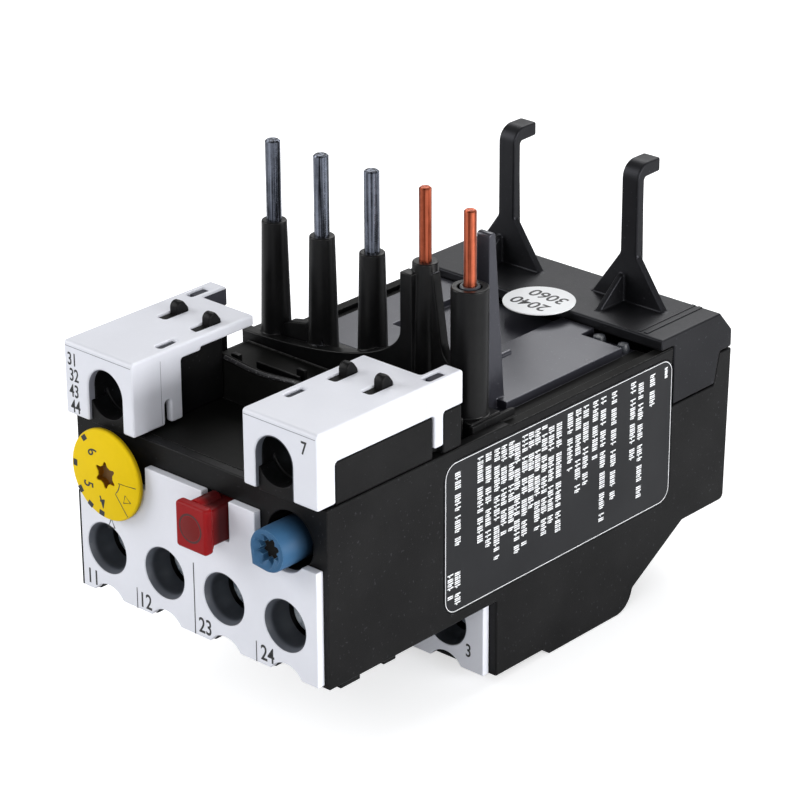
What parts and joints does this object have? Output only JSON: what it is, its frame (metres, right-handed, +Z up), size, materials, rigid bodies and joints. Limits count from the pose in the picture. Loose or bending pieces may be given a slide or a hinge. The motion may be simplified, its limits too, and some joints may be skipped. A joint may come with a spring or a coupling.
{
  "type": "thermal overload relay",
  "caption": "Thermal overload relay with contact pins on top, hooks for a contactor, screw terminals, a current dial, a test button and a reset button.",
  "frame": {"origin": "centre of the underside of the bounding box", "axes": "+X to the right seen from the front, +Y from the front plate to the rear, +Z up along the contact pins"},
  "size_m": [0.045, 0.088, 0.0678],
  "materials": {
    "black_plastic": "satin black moulding",
    "deck_plastic": "satin dark grey moulding",
    "hood_plastic": "satin charcoal moulding",
    "white_plastic": "satin cool white moulding",
    "yellow_plastic": "satin yellow moulding",
    "red_plastic": "satin red moulding",
    "blue_plastic": "satin light blue moulding",
    "ivory_plastic": "satin ivory moulding",
    "label_film": "satin printed film",
    "white_label": "satin white film",
    "tinned_wire": "dull tinned copper",
    "copper_wire": "bright drawn copper",
    "plated_steel": "zinc plated steel",
    "brass": "rolled brass",
    "bimetal": "rolled bimetal strip",
    "heater_wire": "flat heating wire",
    "spring_steel": "spring steel wire",
    "silver_contact": "silver alloy"
  },
  "bodies": {
    "relay": {"base_housing": "black_plastic", "front_plate": "white_plastic", "load_plate": "white_plastic", "left_shroud": "white_plastic", "right_shroud": "white_plastic", "left_terminal_block": "black_plastic", "right_terminal_block": "black_plastic", "front_cover": "black_plastic", "pin_carrier": "black_plastic", "top_cover": "deck_plastic", "rear_hood": "hood_plastic", "hood_sticker": "white_label", "side_label": "label_film", "front_terminal_screws": "plated_steel", "front_terminal_washers": "plated_steel", "load_terminal_screws": "plated_steel", "load_terminal_washers": "plated_steel", "shroud_terminal_screws": "plated_steel", "shroud_terminal_washers": "plated_steel", "nc_strip_in": "brass", "nc_strip_out": "brass", "no_strip_in": "brass", "no_strip_out": "brass", "signal_pin": "copper_wire", "coil_pin": "copper_wire", "heater_base": "ivory_plastic", "slide_rail": "ivory_plastic", "lever_pivot": "plated_steel", "rocker_pivot": "plated_steel", "test_spring": "spring_steel", "reset_spring": "spring_steel", "main_pin_1": "tinned_wire", "heater_lead_1": "brass", "heater_1": "heater_wire", "bimetal_1": "bimetal", "load_bar_1": "brass", "main_pin_2": "tinned_wire", "heater_lead_2": "brass", "heater_2": "heater_wire", "bimetal_2": "bimetal", "load_bar_2": "brass", "main_pin_3": "tinned_wire", "heater_lead_3": "brass", "heater_3": "heater_wire", "bimetal_3": "bimetal", "load_bar_3": "brass"},
    "setting_dial": {"current_dial": "yellow_plastic", "dial_spindle": "ivory_plastic"},
    "test_plunger": {"test_button": "red_plastic"},
    "reset_slider": {"reset_carriage": "ivory_plastic"},
    "reset_knob": {"reset_button": "blue_plastic"},
    "trip_bar": {"trip_slide": "ivory_plastic"},
    "trip_arm": {"trip_lever": "ivory_plastic"},
    "rocker": {"contact_rocker": "ivory_plastic", "nc_moving_contact": "silver_contact", "no_moving_contact": "silver_contact"}
  },
  "joints": [
    {"name": "dial_turn", "type": "hinge", "parent": "relay", "child": "setting_dial", "pos_m": [-0.0147, -0.0396, 0.0314], "axis": [0, -1, 0], "range_deg": [0, 135]},
    {"name": "test_press", "type": "slide", "parent": "relay", "child": "test_plunger", "axis": [0, 1, 0], "range_m": [0, 0.002], "stiffness_N_per_m": 300, "springref_m": -0.0015, "deforming": ["test_spring"]},
    {"name": "reset_press", "type": "slide", "parent": "relay", "child": "reset_slider", "axis": [0, 1, 0], "range_m": [0, 0.002], "stiffness_N_per_m": 300, "springref_m": -0.0015, "deforming": ["reset_spring"]},
    {"name": "reset_turn", "type": "hinge", "parent": "reset_slider", "child": "reset_knob", "pos_m": [0.0161, -0.0396, 0.0314], "axis": [0, -1, 0], "range_deg": [0, 90]},
    {"name": "trip_travel", "type": "slide", "parent": "relay", "child": "trip_bar", "axis": [-1, 0, 0], "range_m": [0, 0.0012]},
    {"name": "lever_swing", "type": "hinge", "parent": "relay", "child": "trip_arm", "pos_m": [0.00865, 0.0024, 0.028], "axis": [0, 0, 1], "range_deg": [0, 5.2]},
    {"name": "rocker_swing", "type": "hinge", "parent": "relay", "child": "rocker", "pos_m": [0.0104, -0.0211, 0.0289], "axis": [0, 0, -1], "range_deg": [0, 10.8]}
  ],
  "couplings": [
    {"joint": "lever_swing", "follows": "trip_travel", "rad_per_m": 74.177},
    {"joint": "rocker_swing", "follows": "trip_travel", "rad_per_m": 155.63}
  ]
}
